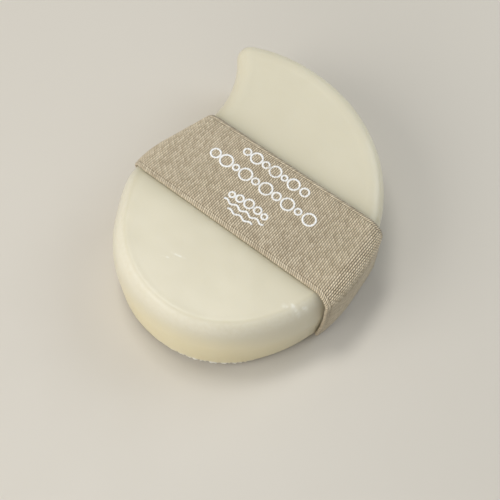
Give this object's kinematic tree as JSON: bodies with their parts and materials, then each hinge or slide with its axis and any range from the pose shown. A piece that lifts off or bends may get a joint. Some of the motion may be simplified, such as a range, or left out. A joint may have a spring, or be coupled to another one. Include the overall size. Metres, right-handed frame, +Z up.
{
  "type": "shaving soap bar with elastic sleeve",
  "caption": "Comma-shaped bar of ivory shaving soap held round its waist by a sleeve of woven elastic webbing with a stitched lap seam.",
  "frame": {"origin": "under the middle of the whole object's box, on the surface it rests on, which is the underside of the sleeve", "axes": "+X along the webbing where it crosses the top, away from the seam; +Y towards the comma's tip; +Z up"},
  "size_m": [0.0678, 0.0836, 0.0254],
  "materials": {
    "soap": "satin hard-milled ivory soap, slightly translucent, faint scuffs",
    "webbing": "woven elastic webbing, ribbed across its width, matt taupe with a speckled weave and rolled selvedges",
    "thread": "matt polyester sewing thread",
    "ink": "thin matt white screen print, broken up by the weave under it; a piece of the visual model only"
  },
  "bodies": {
    "soap": {"soap_cake": "soap"},
    "sleeve": {"elastic_band": "webbing", "seam_thread_upper": "thread", "seam_thread_lower": "thread"}
  },
  "joints": [
    {"name": "sleeve_slide", "type": "slide", "parent": "soap", "child": "sleeve", "axis": [-0.1564, 0.9877, 0], "range_m": [0, 0.06], "deforming": ["elastic_band", "seam_thread_upper", "seam_thread_lower"]}
  ]
}
